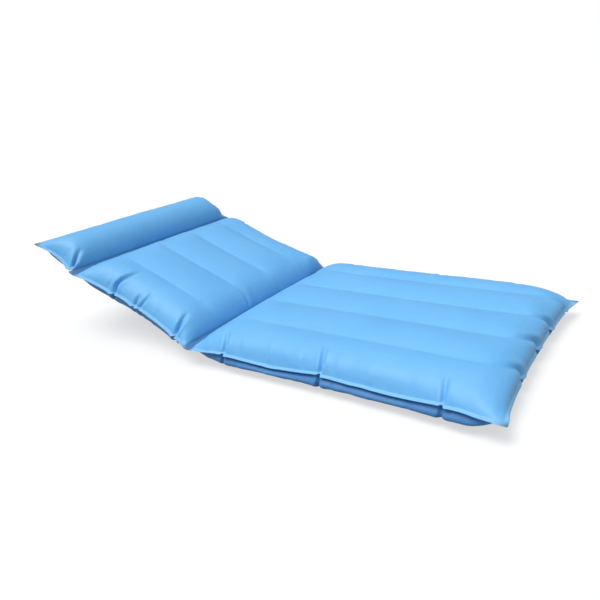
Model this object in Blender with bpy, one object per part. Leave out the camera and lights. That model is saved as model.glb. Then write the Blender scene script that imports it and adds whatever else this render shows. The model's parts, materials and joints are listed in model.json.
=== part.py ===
"""Three-section pressure relief mattress: pillow, back and leg sections, each an inflatable chamber.

Every section is made of an upper and a lower coated-nylon sheet welded together along a flat rim.
Four upright webs inside the back section and four inside the leg section tie the two sheets
together, which gives each of them five channels along its length. The pillow is one plain
chamber. The sections meet at two straight weld lines that act as folds. Each chamber is filled
through a screw-capped stem that is welded into the rim on one long side.

Metres, +Z up. +X runs to the foot end, +Y to the side with the filling stems. The leg section
lies flat, the back section is raised, and the pillow is raised a little more.
"""

import math

import bmesh
import bpy
from mathutils import Matrix, Vector

# overall
WIDTH = 0.900  # across the rim, at the corners
LEG_LENGTH = 1.047  # back fold to the foot corners
BACK_LENGTH = 0.582  # fold to fold
PILLOW_LENGTH = 0.216  # pillow fold to the head corners
BACK_RAISE = math.radians(20.4)  # back section above level
PILLOW_RAISE = math.radians(7.1)  # pillow above the plane of the back section
FOLD_X = -0.1547  # back fold, which puts the origin under the middle of the whole part

# sheets
SHEET = 0.0010  # sheet thickness
GAP = 0.0003  # clearance kept between neighbouring pieces
RIM = 0.012  # width of the welded rim
FOLD_BAND = 0.010  # from a fold's axis to the chamber beside it
FOLD_CLEAR = 0.0013  # from a fold's axis to the edge of the sheets
WELD_RADIUS = 0.0009  # fused bead on the fold's axis
SIDE_SLOPE = math.radians(75)  # how steeply a sheet leaves the rim on the long sides
END_SLOPE = math.radians(70)  # and at the ends, where the sections fold against each other

# channels of the back and leg sections
WEB_Y = (-0.27, -0.09, 0.09, 0.27)
CHANNEL = 0.18
WEB_SHEET = 0.0008
WEB_TAB = 0.008  # the edge of a web that is welded flat to the sheet
WEB_END = 0.112  # how far a web stops short of the chamber's end
GROOVE_TOP = 0.0580  # weld plane to the grooves above it, inside the sheet
CROWN_TOP = 0.0120  # how far a channel's crown stands over its grooves
GROOVE_BELOW = 0.0510
CROWN_BELOW = 0.0100
FOLD_Z = GROOVE_BELOW + CROWN_BELOW + GAP / 2 + SHEET  # both folds' height over the floor

# pillow
PILLOW_TOP = 0.0600
PILLOW_BELOW = 0.0560

# how far the rim is drawn in between the corners
LEG_WAIST, LEG_FOOT_WAIST = 0.025, 0.010
BACK_WAIST = 0.030
PILLOW_WAIST = 0.020

# filling stem, welded into the rim
VALVE_U = {"leg": 0.300, "back": 0.290, "pillow": 0.107}  # distance from the section's fold
BOAT = ((0.0, 0.0060), (0.009, 0.0041), (0.016, 0.0))  # half outline: along the rim, half height
BOAT_LENGTH = 0.015
BORE_R = 0.0040
NECK_R = 0.0065
NECK_LENGTH = 0.015
WASHER_R = 0.0094
WASHER_T = 0.0016
CAP_R = 0.0106
CAP_GRIP = 0.0008
CAP_WALL = 0.0018
CAP_LENGTH = 0.0150
ROUND = 24

SHEET_BLUE = (0.205, 0.520, 0.930)
UNDER_BLUE = (0.115, 0.345, 0.720)
WEB_BLUE = (0.300, 0.560, 0.850)
WELD_BLUE = (0.130, 0.360, 0.700)
STEM_WHITE = (0.760, 0.800, 0.830)
CAP_WHITE = (0.860, 0.880, 0.890)
WASHER_GREY = (0.060, 0.065, 0.070)


def clear_scene():
    for obj in list(bpy.data.objects):
        bpy.data.objects.remove(obj, do_unlink=True)


def material(name, colour, roughness, metallic=0.0):
    mat = bpy.data.materials.new(name)
    mat.use_nodes = True
    shader = mat.node_tree.nodes["Principled BSDF"]
    shader.inputs["Base Color"].default_value = (*colour, 1.0)
    shader.inputs["Roughness"].default_value = roughness
    shader.inputs["Metallic"].default_value = metallic
    return mat


def add(name, mesh, mat, parent=None, matrix=None):
    obj = bpy.data.objects.new(name, mesh)
    bpy.context.scene.collection.objects.link(obj)
    mesh.materials.append(mat)
    if parent is not None:
        obj.parent = parent
    if matrix is not None:
        obj.matrix_local = matrix
    return obj


def frame(name, parent=None, location=(0, 0, 0), turn=0.0):
    """An empty whose Y axis is a fold's axis."""
    empty = bpy.data.objects.new(name, None)
    bpy.context.scene.collection.objects.link(empty)
    empty.parent = parent
    empty.location = location
    empty.rotation_euler = (0.0, turn, 0.0)
    return empty


def arc(distance, height, slope):
    """Rise of a sheet, 0 to 1, at a distance from the rim: a circular arc that leaves the rim at the
    given slope and runs level once it has risen the whole height."""
    radius = height / (1.0 - math.cos(slope))
    s = math.sin(slope) - max(distance, 0.0) / radius
    if s <= 0.0:
        return 1.0
    return (math.sqrt(max(0.0, 1.0 - s * s)) - math.cos(slope)) / (1.0 - math.cos(slope))


def smooth(x):
    x = min(max(x, 0.0), 1.0)
    return x * x * (3.0 - 2.0 * x)


def boat_height(along):
    """Half height of the stem's root at a distance along the rim from the stem."""
    a = abs(along)
    for (x0, z0), (x1, z1) in zip(BOAT, BOAT[1:]):
        if a <= x1:
            return z0 + (z1 - z0) * (a - x0) / (x1 - x0)
    return 0.0


class Section:
    """One chamber in its own frame: u from the fold's axis, v across, n up from the weld plane.
    side is +1 where u runs along +X and -1 where it runs along -X."""

    def __init__(self, name, length, outer_band, waist, end_waist, side, webs, top, below):
        self.name, self.side, self.webs = name, side, webs
        self.length, self.outer_band = length, outer_band
        self.waist, self.end_waist = waist, end_waist
        self.heights = {"top": top, "below": below}
        self.valve_u = VALVE_U[name]

    def start(self):
        return FOLD_BAND

    def end(self, y):
        share = min(1.0, abs(y) / (WIDTH / 2 - RIM))
        return self.length - self.outer_band - self.end_waist * (1.0 - share**2.2)

    def half_width(self, u):
        t = (u - self.start()) / (self.length - self.outer_band - self.start())
        t = min(max(t, 0.0), 1.0)
        return WIDTH / 2 - RIM - self.waist * (1.0 - abs(2.0 * t - 1.0) ** 2.2)

    def height(self, u, y, which):
        """Distance from the weld plane to the inner face of a sheet."""
        groove, crown = self.heights[which]
        inside = min(u - self.start(), self.end(y) - u)
        from_side = self.half_width(u) - abs(y)
        whole = groove + crown
        rise = arc(inside, whole, END_SLOPE) * arc(from_side, whole, SIDE_SLOPE)
        if self.webs:
            place = (abs(y) + CHANNEL / 2) / CHANNEL % 1.0
            wave = 1.0 - (2.0 * place - 1.0) ** 2
            if which == "below":
                wave = min(1.0, 1.8 * wave)  # the crowns are pressed flat where they rest
            held = smooth((inside - 0.02) / (WEB_END - 0.02))
            crown *= 1.0 - held + held * wave
        h = (groove + crown) * rise
        if y > 0:
            root = boat_height(u - self.valve_u)
            if root > 0:
                h = max(h, (root + GAP / 2) * (1.0 - max(from_side, 0.0) / 0.02))
        return max(h, 0.0) + GAP / 2

    def rows(self):
        """Grid lines along the section, as functions of y."""
        first = [FOLD_CLEAR] + [self.start() + d for d in (0.0, 0.010, 0.030, 0.060)]
        last = [0.060, 0.030, 0.010, 0.0]
        stem = [self.valve_u + d for d in (-0.016, -0.009, 0.0, 0.009, 0.016)]
        if self.name != "pillow":
            first.append(self.start() + 0.105)
            last.insert(0, 0.105)
            stem = [stem[0] - 0.012] + stem + [stem[-1] + 0.012]
            reach = self.end(WIDTH / 2) - 0.105
            count = max(1, round((reach - stem[-1]) / 0.18))
            stem += [stem[-1] + (reach - stem[-1]) * k / count for k in range(1, count)]
        outer = self.length - (FOLD_CLEAR if self.name == "back" else 0.0)
        lines = [lambda y, u=u: u for u in first + stem]
        lines += [lambda y, d=d: self.end(y) - d for d in last]
        lines.append(lambda y: outer - (self.length - self.outer_band - self.end(y)))
        return lines

    def columns(self):
        """Grid lines across the section, as functions of the half width there."""
        near = (-RIM, 0.0, 0.008, 0.025, 0.050, 0.082)
        middle = (-0.27, -0.21, -0.15, -0.09, -0.03, 0.03, 0.09, 0.15, 0.21, 0.27) if self.webs else (-0.2, 0.0, 0.2)
        lines = [lambda w, d=d: -(w - d) for d in near]
        lines += [lambda w, y=y: y for y in middle]
        lines += [lambda w, d=d: w - d for d in reversed(near)]
        return lines

    def sheet(self, which):
        """A sheet as a closed shell: its inner face is a grid, and its outer face is that grid moved
        out by the sheet's thickness. Where the lower sheet is pressed flat, it stays exactly flat."""
        up = 1.0 if which == "top" else -1.0
        deepest = sum(self.heights["below"]) + GAP / 2
        inner = []
        for row in self.rows():
            line = []
            for column in self.columns():
                y = 0.0
                for _ in range(6):  # the rows lean where the end is drawn in
                    y = column(self.half_width(row(y)))
                u = row(y)
                line.append(Vector((self.side * u, y, up * self.height(u, y, which))))
            inner.append(line)
        count, across = len(inner), len(inner[0])
        outer = []
        for i in range(count):
            line = []
            for j in range(across):
                along = inner[min(i + 1, count - 1)][j] - inner[max(i - 1, 0)][j]
                over = inner[i][min(j + 1, across - 1)] - inner[i][max(j - 1, 0)]
                normal = along.cross(over).normalized()
                if normal.z * up < 0:
                    normal.negate()
                point = inner[i][j] + normal * SHEET
                if which == "below" and -inner[i][j].z > deepest - 1e-6:
                    point = Vector((inner[i][j].x, inner[i][j].y, -deepest - SHEET))
                line.append(point)
            outer.append(line)
        bm = bmesh.new()
        within = [[bm.verts.new(p) for p in line] for line in inner]
        without = [[bm.verts.new(p) for p in line] for line in outer]
        for grid in (within, without):
            for a, b in zip(grid, grid[1:]):
                for j in range(across - 1):
                    bm.faces.new((a[j], b[j], b[j + 1], a[j + 1]))
        edge = [(0, j) for j in range(across)] + [(i, across - 1) for i in range(1, count)]
        edge += [(count - 1, j) for j in range(across - 2, -1, -1)] + [(i, 0) for i in range(count - 2, 0, -1)]
        for (i, j), (k, m) in zip(edge, edge[1:] + edge[:1]):
            bm.faces.new((within[i][j], within[k][m], without[k][m], without[i][j]))
        bmesh.ops.recalc_face_normals(bm, faces=bm.faces)
        mesh = bpy.data.meshes.new(f"{self.name}_{which}")
        bm.to_mesh(mesh)
        bm.free()
        mesh.shade_smooth()
        mesh.set_sharp_from_angle(angle=math.radians(40))
        return mesh


def web_mesh(section, y):
    """An upright strip with a flat tab along each long edge, an I in section."""
    top = GROOVE_TOP - GAP
    low = -(GROOVE_BELOW - GAP)
    w, t, s = WEB_TAB / 2, WEB_SHEET, WEB_SHEET / 2
    outline = [
        (-w, low), (w, low), (w, low + t), (s, low + t), (s, top - t), (w, top - t),
        (w, top), (-w, top), (-w, top - t), (-s, top - t), (-s, low + t), (-w, low + t),
    ]  # fmt: skip
    u0 = section.start() + WEB_END
    u1 = section.end(y) - WEB_END
    x0, x1 = sorted((section.side * u0, section.side * u1))
    bm = bmesh.new()
    face = bm.faces.new([bm.verts.new((x0, y + a, b)) for a, b in outline])
    out = bmesh.ops.extrude_face_region(bm, geom=[face])
    moved = [v for v in out["geom"] if isinstance(v, bmesh.types.BMVert)]
    bmesh.ops.translate(bm, verts=moved, vec=(x1 - x0, 0.0, 0.0))
    bmesh.ops.recalc_face_normals(bm, faces=bm.faces)
    mesh = bpy.data.meshes.new("web")
    bm.to_mesh(mesh)
    bm.free()
    return mesh


def turned(name, profile, segments=ROUND, grip=0.0):
    """A closed ring or disc turned about Z from a closed profile of (radius, z). A grip makes every
    other point of the profile's outermost radius stand back."""
    widest = max(r for r, _ in profile)
    bm = bmesh.new()
    rings = []
    for r, z in profile:
        if r == 0.0:
            rings.append([bm.verts.new((0.0, 0.0, z))])
            continue
        ring = []
        for k in range(segments):
            angle = 2.0 * math.pi * k / segments
            reach = r - grip * (k % 2) if r > widest - 1e-6 else r
            ring.append(bm.verts.new((reach * math.cos(angle), reach * math.sin(angle), z)))
        rings.append(ring)
    pairs = list(zip(rings, rings[1:]))
    if len(rings[0]) > 1:
        pairs.append((rings[-1], rings[0]))
    for a, b in pairs:
        for k in range(segments):
            m = (k + 1) % segments
            corners = [a[k % len(a)], a[m % len(a)], b[m % len(b)], b[k % len(b)]]
            kept = list(dict.fromkeys(corners))
            if len(kept) > 2:
                bm.faces.new(kept)
    bmesh.ops.recalc_face_normals(bm, faces=bm.faces)
    mesh = bpy.data.meshes.new(name)
    bm.to_mesh(mesh)
    bm.free()
    mesh.shade_smooth()
    mesh.set_sharp_from_angle(angle=math.radians(35))
    return mesh


def boat_mesh():
    """The root of a stem: a lens-shaped block that the two sheets close round. Z is the stem's axis."""
    half = [(x, z) for x, z in BOAT]
    outline = [(x, z) for x, z in half] + [(x, -z) for x, z in reversed(half[:-1])]
    outline += [(-x, -z) for x, z in half[1:]] + [(-x, z) for x, z in reversed(half[1:-1])]
    flat = [(min(max(x, -0.0154), 0.0154), z) for x, z in outline]
    bm = bmesh.new()
    face = bm.faces.new([bm.verts.new((x, z, 0.0)) for x, z in flat])
    out = bmesh.ops.extrude_face_region(bm, geom=[face])
    moved = [v for v in out["geom"] if isinstance(v, bmesh.types.BMVert)]
    bmesh.ops.translate(bm, verts=moved, vec=(0.0, 0.0, BOAT_LENGTH))
    bmesh.ops.recalc_face_normals(bm, faces=bm.faces)
    mesh = bpy.data.meshes.new("stem_root")
    bm.to_mesh(mesh)
    bm.free()
    return mesh


def helper(name, mesh, parent, matrix):
    obj = bpy.data.objects.new(name, mesh)
    bpy.context.scene.collection.objects.link(obj)
    obj.parent = parent
    obj.matrix_local = matrix
    obj.hide_render = True
    obj.display_type = "WIRE"
    return obj


def add_valve(section, parent, stem_mat, washer_mat, cap_mat):
    """A stem in the rim of the +Y side, its sealing washer and its screw cap, all on one axis."""
    y0 = section.half_width(section.valve_u) - 0.002
    axis = Matrix.Translation((section.side * section.valve_u, y0, 0.0)) @ Matrix.Rotation(
        math.radians(-90), 4, "X"
    )
    name = section.name
    neck_end = BOAT_LENGTH + NECK_LENGTH
    stem = add(f"{name}_valve_stem", boat_mesh(), stem_mat, parent, axis)
    neck = helper(
        f"{name}_neck_form",
        turned("neck", [(0.0, 0.004), (NECK_R - 0.0006, 0.004), (NECK_R - 0.0006, BOAT_LENGTH + 0.001),
                        (NECK_R, BOAT_LENGTH + 0.001), (NECK_R, neck_end - 0.001),
                        (NECK_R - 0.001, neck_end), (0.0, neck_end)]),
        parent, axis)  # fmt: skip
    # the part of the neck form inside the root is narrower than the root is thick
    bore = helper(
        f"{name}_bore_form",
        turned("bore", [(0.0, -0.002), (BORE_R, -0.002), (BORE_R, neck_end + 0.002), (0.0, neck_end + 0.002)]),
        parent, axis)  # fmt: skip
    for kind, tool in (("UNION", neck), ("DIFFERENCE", bore)):
        cut = stem.modifiers.new(kind.lower(), "BOOLEAN")
        cut.operation = kind
        cut.solver = "EXACT"
        cut.object = tool
    z = BOAT_LENGTH + GAP
    inner = NECK_R + GAP
    add(
        f"{name}_valve_washer",
        turned("washer", [(inner, z), (WASHER_R - 0.0003, z), (WASHER_R, z + 0.0003), (WASHER_R, z + WASHER_T - 0.0003),
                          (WASHER_R - 0.0003, z + WASHER_T), (inner, z + WASHER_T)]),
        washer_mat, parent, axis)  # fmt: skip
    z += WASHER_T + GAP
    depth = neck_end + 0.0004
    top = z + CAP_LENGTH
    add(
        f"{name}_valve_cap",
        turned("cap", [(0.0, top), (CAP_R - 0.0022, top), (CAP_R, top - 0.0016), (CAP_R, z), (inner + 0.0001, z),
                       (inner + 0.0001, depth), (0.0, depth)], grip=CAP_GRIP),
        cap_mat, parent, axis)  # fmt: skip


def bead_mesh():
    half = WIDTH / 2 - RIM
    mesh = turned("bead", [(0.0, -half), (WELD_RADIUS, -half), (WELD_RADIUS, half), (0.0, half)], segments=10)
    mesh.transform(Matrix.Rotation(math.radians(-90), 4, "X"))
    return mesh


def main():
    clear_scene()
    top_mat = material("coated_nylon_top", SHEET_BLUE, 0.45)
    below_mat = material("coated_nylon_below", UNDER_BLUE, 0.50)
    web_mat = material("nylon_web", WEB_BLUE, 0.60)
    weld_mat = material("fold_weld", WELD_BLUE, 0.40)
    stem_mat = material("valve_stem", STEM_WHITE, 0.40)
    washer_mat = material("valve_washer", WASHER_GREY, 0.60)
    cap_mat = material("valve_cap", CAP_WHITE, 0.35)

    leg_frame = frame("leg_frame", None, (FOLD_X, 0.0, FOLD_Z))
    back_frame = frame("back_frame", None, (FOLD_X, 0.0, FOLD_Z), BACK_RAISE)
    pillow_frame = frame("pillow_frame", back_frame, (-BACK_LENGTH, 0.0, 0.0), PILLOW_RAISE)

    channels = (GROOVE_TOP, CROWN_TOP), (GROOVE_BELOW, CROWN_BELOW)
    leg = Section("leg", LEG_LENGTH, RIM, LEG_WAIST, LEG_FOOT_WAIST, 1, True, *channels)
    back = Section("back", BACK_LENGTH, FOLD_BAND, BACK_WAIST, 0.0, -1, True, *channels)
    pillow = Section("pillow", PILLOW_LENGTH, RIM, PILLOW_WAIST, 0.0, -1, False, (PILLOW_TOP, 0.0), (PILLOW_BELOW, 0.0))

    for section, parent in ((leg, leg_frame), (back, back_frame), (pillow, pillow_frame)):
        add(f"{section.name}_top_sheet", section.sheet("top"), top_mat, parent)
        add(f"{section.name}_bottom_sheet", section.sheet("below"), below_mat, parent)
        if section.webs:
            for k, y in enumerate(WEB_Y, 1):
                add(f"{section.name}_web_{k}", web_mesh(section, y), web_mat, parent)
        add_valve(section, parent, stem_mat, washer_mat, cap_mat)

    add("back_fold_weld", bead_mesh(), weld_mat, leg_frame)
    add("pillow_fold_weld", bead_mesh(), weld_mat, pillow_frame)


main()
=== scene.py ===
import json
import math

import bmesh
import bpy
import numpy as np
from mathutils import Matrix, Vector


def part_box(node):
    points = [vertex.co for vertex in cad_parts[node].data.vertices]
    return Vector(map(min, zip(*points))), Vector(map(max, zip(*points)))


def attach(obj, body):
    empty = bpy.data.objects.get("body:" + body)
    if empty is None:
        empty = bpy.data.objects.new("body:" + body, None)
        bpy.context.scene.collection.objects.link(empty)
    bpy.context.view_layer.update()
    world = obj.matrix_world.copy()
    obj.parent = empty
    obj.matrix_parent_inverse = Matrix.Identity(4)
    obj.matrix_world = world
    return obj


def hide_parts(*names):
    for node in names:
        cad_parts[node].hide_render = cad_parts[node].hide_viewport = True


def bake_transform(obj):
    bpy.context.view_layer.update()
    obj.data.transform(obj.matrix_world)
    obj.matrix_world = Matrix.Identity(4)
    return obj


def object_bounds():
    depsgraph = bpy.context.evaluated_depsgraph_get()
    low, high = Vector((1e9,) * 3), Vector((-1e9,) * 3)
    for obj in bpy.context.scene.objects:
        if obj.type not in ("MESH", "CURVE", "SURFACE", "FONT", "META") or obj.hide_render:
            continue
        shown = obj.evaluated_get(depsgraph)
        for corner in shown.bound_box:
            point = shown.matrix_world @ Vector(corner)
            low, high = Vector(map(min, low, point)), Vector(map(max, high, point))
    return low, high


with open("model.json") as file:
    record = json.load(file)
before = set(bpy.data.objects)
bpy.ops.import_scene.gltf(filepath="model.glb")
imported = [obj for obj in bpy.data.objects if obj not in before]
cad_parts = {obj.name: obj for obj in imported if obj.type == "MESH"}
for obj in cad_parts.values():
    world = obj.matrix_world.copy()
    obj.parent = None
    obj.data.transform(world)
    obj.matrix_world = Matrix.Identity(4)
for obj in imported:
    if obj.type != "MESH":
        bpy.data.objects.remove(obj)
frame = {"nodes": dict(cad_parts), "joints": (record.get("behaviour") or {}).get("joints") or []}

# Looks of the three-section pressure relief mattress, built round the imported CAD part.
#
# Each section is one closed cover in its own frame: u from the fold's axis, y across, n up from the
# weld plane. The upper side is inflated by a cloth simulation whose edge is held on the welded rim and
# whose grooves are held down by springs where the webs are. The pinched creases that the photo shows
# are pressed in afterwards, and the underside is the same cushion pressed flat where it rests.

CAD_BOX = [list(v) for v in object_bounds()]

RIM = 0.012
FOLD_BAND = 0.010
BAND_START = 0.003
SKIN = 0.0008
WEB_Y = (-0.27, -0.09, 0.09, 0.27)
WEB_END = 0.112
GROOVE = 0.0592
CREST = 0.0705
FLOOR_DEPTH = 0.0612
HALF = 0.45
BOAT = ((0.0, 0.0060), (0.009, 0.0041), (0.016, 0.0))


# ---------------------------------------------------------------------------- the frame

def joint(name):
    return next(j for j in frame["joints"] if j["name"] == name)


BACK_FOLD = np.array(joint("back_fold")["pos_m"], float)
PILLOW_FOLD = np.array(joint("pillow_fold")["pos_m"], float)
BACK_TILT = math.atan2(PILLOW_FOLD[2] - BACK_FOLD[2], BACK_FOLD[0] - PILLOW_FOLD[0])
PILLOW_TILT = BACK_TILT - math.radians(joint("pillow_fold")["range_deg"][0])
BACK_LENGTH = float(np.hypot(PILLOW_FOLD[2] - BACK_FOLD[2], PILLOW_FOLD[0] - BACK_FOLD[0]))
LEG_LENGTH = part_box("leg_top_sheet")[1].x - BACK_FOLD[0]


class Section:
    def __init__(self, name, length, band, waist, end_waist, origin, side, tilt, webs, valve_u, open_angle, far_angle):
        self.name, self.length, self.band = name, length, band
        self.waist, self.end_waist = waist, end_waist
        self.origin, self.side, self.tilt = origin, side, tilt
        self.webs, self.valve_u = webs, valve_u
        self.open_angle, self.far_angle = math.radians(open_angle), far_angle and math.radians(far_angle)
        self.u0, self.u1 = FOLD_BAND, length - band
        self.far_power = 2.2 if name == "leg" else 1.3

    def half_width(self, u, y=-1.0):
        """Half the chamber's width. The far side keeps its width further towards the corners."""
        t = np.clip((u - self.u0) / (self.u1 - self.u0), 0, 1)
        power = np.where(np.asarray(y) > 0, self.far_power, 2.2)
        return HALF - RIM - self.waist * (1 - np.abs(2 * t - 1) ** power)

    def end(self, y):
        return self.u1 - self.end_waist * (1 - np.clip(np.abs(y) / (HALF - RIM), 0, 1) ** 2.2)

    def world(self, p):
        """Points (u, y, n) of this section's frame in the row frame."""
        c, s = math.cos(self.tilt), math.sin(self.tilt)
        p = np.asarray(p, float)
        u, y, n = p[..., 0], p[..., 1], p[..., 2]
        o = self.origin
        return np.stack([o[0] + self.side * u * c + n * s, y, o[2] + u * s + n * c], -1)

    def stem_y(self):
        return float(self.half_width(np.array(self.valve_u), 1.0)) - 0.002


LEG = Section("leg", LEG_LENGTH, RIM, 0.025, 0.024, BACK_FOLD, 1, 0.0, True, 0.300, 54, None)
BACK = Section("back", BACK_LENGTH, FOLD_BAND, 0.030, 0.0, BACK_FOLD, -1, BACK_TILT, True, 0.290, 54, 59)
PILLOW = Section("pillow", 0.216, RIM, 0.020, 0.0, PILLOW_FOLD, -1, PILLOW_TILT, False, 0.107, 59, None)


# ---------------------------------------------------------------------------- small maths

def smooth(x):
    x = np.clip(x, 0.0, 1.0)
    return x * x * (3 - 2 * x)


def arc(distance, height, slope):
    radius = height / (1 - math.cos(slope))
    s = math.sin(slope) - np.maximum(distance, 0) / radius
    rise = (np.sqrt(np.clip(1 - s * s, 0, 1)) - math.cos(slope)) / (1 - math.cos(slope))
    return np.where(s <= 0, 1.0, rise)


def waves(x, seed, amount, longest=0.30, terms=5):
    """A smooth uneven line: a few sines with fixed phases."""
    total = np.zeros_like(np.asarray(x, float))
    for k in range(terms):
        wave = longest / (1 + 0.73 * k)
        phase = (seed * 2.399 + k * 1.713) % (2 * math.pi)
        total = total + np.sin(2 * math.pi * np.asarray(x) / wave + phase) / (1 + 0.6 * k)
    return amount * total / 2.2


def catmull(grid, at, axis):
    """grid resampled along axis at fractional indices, with a Catmull-Rom curve through its points."""
    g = np.moveaxis(grid, axis, 0)
    n = g.shape[0] - 1
    i = np.clip(np.floor(at).astype(int), 0, n - 1)
    f = (at - i).reshape((-1,) + (1,) * (g.ndim - 1))
    ends = np.concatenate([[2 * g[0] - g[1]], g, [2 * g[-1] - g[-2]]])
    a, b, c, d = ends[i], ends[i + 1], ends[i + 2], ends[i + 3]
    out = b + 0.5 * f * (c - a + f * (2 * a - 5 * b + 4 * c - d + f * (3 * (b - c) + d - a)))
    return np.moveaxis(out, 0, axis)


def graded(total, base, dense):
    """Indices from 0 to total, base apart, and closer round each (centre, reach, spacing) of dense."""
    x = np.linspace(0, total, 6001)
    step = np.full_like(x, base)
    for centre, reach, spacing in dense:
        step = np.minimum(step, spacing + (base - spacing) * smooth((np.abs(x - centre) - reach) / reach))
    count = np.concatenate([[0], np.cumsum((x[1] - x[0]) * 0.5 * (1 / step[1:] + 1 / step[:-1]))])
    lines = max(8, int(round(count[-1])))
    return np.interp(np.linspace(0, count[-1], lines + 1), count, x)


# ---------------------------------------------------------------------------- inflating a sheet

def even(height, start, stop):
    """Where points lie between start and stop that are evenly spaced along the curve height(x), and its length."""
    x = np.linspace(start, stop, 4001)
    h = height(x)
    run = np.concatenate([[0], np.cumsum(np.hypot(np.diff(x), np.diff(h)))])
    return (lambda t: np.interp(t * run[-1], run, x)), run[-1]


def start_sheet(sec, cell):
    """The sheet before it is inflated: (positions, rest positions, web columns) on a grid."""
    whole = CREST if sec.webs else 0.062
    side_slope, end_slope = math.radians(78), math.radians(66)
    w = float(sec.half_width(np.array((sec.u0 + sec.u1) / 2)))
    across, wide = even(lambda y: whole * arc(w - np.abs(y), whole, side_slope), -w, w)
    e = float(sec.end(np.array(0.0)))
    along, long = even(lambda u: whole * arc(np.minimum(u - sec.u0, e - u), whole, end_slope), sec.u0, e)
    nu, nv = int(round(long / cell)), int(round(wide / cell))
    s, t = np.linspace(0, 1, nu + 1), np.linspace(0, 1, nv + 1)
    columns = []
    if sec.webs:
        fy = across(t)
        for y in WEB_Y:
            j = int(np.argmin(np.abs(fy - y)))
            back = np.interp(y, fy, t)
            t[j] = back
            columns.append(j)
    us = (along(s) - sec.u0) / (e - sec.u0)
    yt = across(t) / w
    u = sec.u0 + us * (sec.u1 - sec.u0)
    hw = sec.half_width(u)
    hw0, hw1 = float(sec.half_width(np.array(sec.u0))), float(sec.half_width(np.array(sec.u1)))
    near = np.stack([u, -hw, 0 * u], -1)
    far = np.stack([u, sec.half_width(u, 1.0), 0 * u], -1)
    a = np.stack([np.full(nv + 1, sec.u0), yt * hw0, 0 * yt], -1)
    b = np.stack([sec.end(yt * hw1), yt * hw1, 0 * yt], -1)
    S, T = us[:, None, None], ((yt + 1) / 2)[None, :, None]
    X = (1 - T) * near[:, None] + T * far[:, None] + (1 - S) * a[None] + S * b[None]
    X -= (1 - S) * (1 - T) * near[0] + S * (1 - T) * near[-1] + (1 - S) * T * far[0] + S * T * far[-1]
    U, Y = X[..., 0], X[..., 1]
    inside = np.minimum(U - sec.u0, sec.end(Y) - U)
    X[..., 2] = whole * arc(inside, whole, end_slope) * arc(sec.half_width(U, Y) - np.abs(Y), whole, side_slope)
    return X, (s, t, long, wide), columns


def held(sec, U, Y):
    inside = np.minimum(U - sec.u0, sec.end(Y) - U)
    return smooth((inside - 0.03) / (WEB_END - 0.03))


def dip(sec, X):
    U, Y = X[..., 0], X[..., 1]
    place = (np.abs(Y) + 0.09) / 0.18 % 1.0
    wave = 1 - np.abs(2 * place - 1) ** 2.2
    X[..., 2] *= 1 - (1 - GROOVE / CREST) * held(sec, U, Y) * (1 - wave)
    return X


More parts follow.
